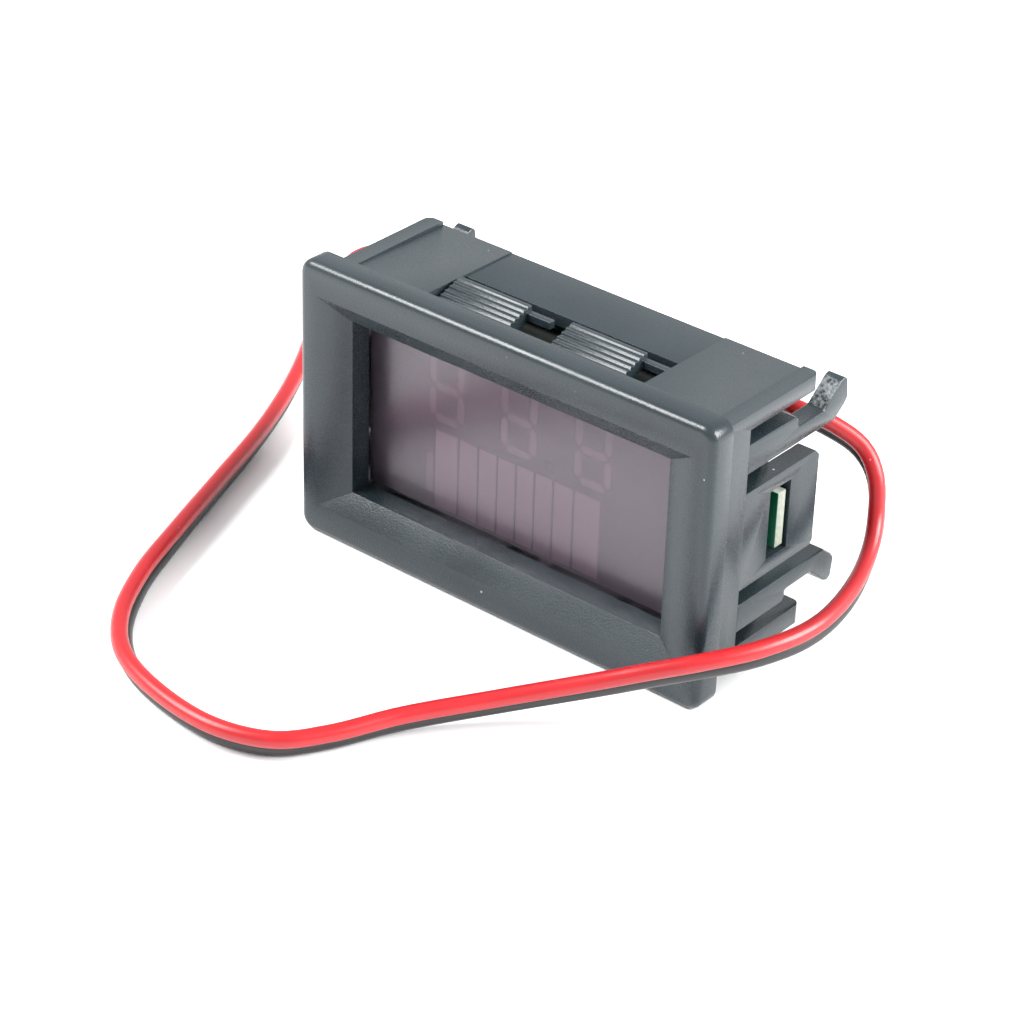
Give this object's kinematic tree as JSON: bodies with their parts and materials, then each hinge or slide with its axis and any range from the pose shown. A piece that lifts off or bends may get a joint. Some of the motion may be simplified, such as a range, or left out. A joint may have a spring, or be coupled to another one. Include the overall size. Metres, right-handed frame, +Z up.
{
  "type": "panel voltmeter",
  "caption": "Snap-in panel voltmeter: black case, smoked lens over digits and a battery bar graph, sprung arms and grips, on a red and black twin lead.",
  "frame": {"origin": "under the middle of the case, at the level of the bezel's lower edge", "axes": "+X along the long side of the face, to the right when facing the display; -Y out of the display; +Z up"},
  "size_m": [0.0869, 0.0819, 0.029],
  "materials": {
    "case_plastic": "satin moulded charcoal ABS",
    "smoked_acrylic": "polished smoked red acrylic",
    "display_plastic": "matt grey printed face",
    "display_epoxy": "frosted milky epoxy",
    "board_laminate": "green solder mask on glass laminate",
    "chip_resin": "matt moulding resin",
    "ceramic": "fired ceramic",
    "solder": "bright tin",
    "red_insulation": "satin PVC",
    "black_insulation": "satin PVC"
  },
  "bodies": {
    "case": {"housing": "case_plastic", "smoked_lens": "smoked_acrylic", "display_body": "display_plastic", "digit_1": "display_epoxy", "digit_2": "display_epoxy", "digit_3": "display_epoxy", "decimal_point": "display_epoxy", "battery_bar_1": "display_epoxy", "battery_bar_2": "display_epoxy", "battery_bar_3": "display_epoxy", "battery_bar_4": "display_epoxy", "battery_bar_5": "display_epoxy", "battery_bar_6": "display_epoxy", "battery_bar_7": "display_epoxy", "battery_bar_8": "display_epoxy", "battery_terminal_bar": "display_epoxy", "led_carrier": "board_laminate", "main_board": "board_laminate", "display_pin_1": "solder", "display_pin_2": "solder", "display_pin_3": "solder", "display_pin_4": "solder", "display_pin_5": "solder", "display_pin_6": "solder", "display_pin_7": "solder", "display_pin_8": "solder", "display_pin_9": "solder", "display_pin_10": "solder", "display_pin_11": "solder", "display_pin_12": "solder", "display_driver_chip": "chip_resin", "voltage_regulator": "chip_resin", "input_diode": "chip_resin", "filter_capacitor_1": "ceramic", "filter_capacitor_2": "ceramic", "resistor_1": "chip_resin", "resistor_2": "chip_resin", "resistor_3": "chip_resin", "resistor_4": "chip_resin", "red_solder_joint": "solder", "black_solder_joint": "solder", "red_wire": "red_insulation", "black_wire": "black_insulation", "red_wire_tip": "solder", "black_wire_tip": "solder"},
    "left_lower_arm": {"left_lower_snap_arm": "case_plastic"},
    "left_upper_arm": {"left_upper_snap_arm": "case_plastic"},
    "right_lower_arm": {"right_lower_snap_arm": "case_plastic"},
    "right_upper_arm": {"right_upper_snap_arm": "case_plastic"},
    "left_lower_grip": {"left_lower_panel_grip": "case_plastic"},
    "right_lower_grip": {"right_lower_panel_grip": "case_plastic"},
    "left_upper_grip": {"left_upper_panel_grip": "case_plastic"},
    "right_upper_grip": {"right_upper_panel_grip": "case_plastic"}
  },
  "joints": [
    {"name": "left_lower_arm_flex", "type": "hinge", "parent": "case", "child": "left_lower_arm", "pos_m": [-0.02187, -0.00392, 0.00635], "axis": [1, 0, 0], "range_deg": [0, 6], "stiffness_Nm_per_rad": 0.2},
    {"name": "left_upper_arm_flex", "type": "hinge", "parent": "case", "child": "left_upper_arm", "pos_m": [-0.02187, -0.00392, 0.02285], "axis": [-1, 0, 0], "range_deg": [0, 6], "stiffness_Nm_per_rad": 0.2},
    {"name": "right_lower_arm_flex", "type": "hinge", "parent": "case", "child": "right_lower_arm", "pos_m": [0.02187, -0.00392, 0.00635], "axis": [1, 0, 0], "range_deg": [0, 6], "stiffness_Nm_per_rad": 0.2},
    {"name": "right_upper_arm_flex", "type": "hinge", "parent": "case", "child": "right_upper_arm", "pos_m": [0.02187, -0.00392, 0.02285], "axis": [-1, 0, 0], "range_deg": [0, 6], "stiffness_Nm_per_rad": 0.2},
    {"name": "left_lower_grip_flex", "type": "hinge", "parent": "case", "child": "left_lower_grip", "pos_m": [-0.00785, -0.00683, 0.0035], "axis": [1, 0, 0], "range_deg": [0, 8], "stiffness_Nm_per_rad": 0.4},
    {"name": "right_lower_grip_flex", "type": "hinge", "parent": "case", "child": "right_lower_grip", "pos_m": [0.00545, -0.00683, 0.0035], "axis": [1, 0, 0], "range_deg": [0, 8], "stiffness_Nm_per_rad": 0.4},
    {"name": "left_upper_grip_flex", "type": "hinge", "parent": "case", "child": "left_upper_grip", "pos_m": [-0.00785, -0.00683, 0.0255], "axis": [-1, 0, 0], "range_deg": [0, 8], "stiffness_Nm_per_rad": 0.4},
    {"name": "right_upper_grip_flex", "type": "hinge", "parent": "case", "child": "right_upper_grip", "pos_m": [0.00545, -0.00683, 0.0255], "axis": [-1, 0, 0], "range_deg": [0, 8], "stiffness_Nm_per_rad": 0.4}
  ]
}
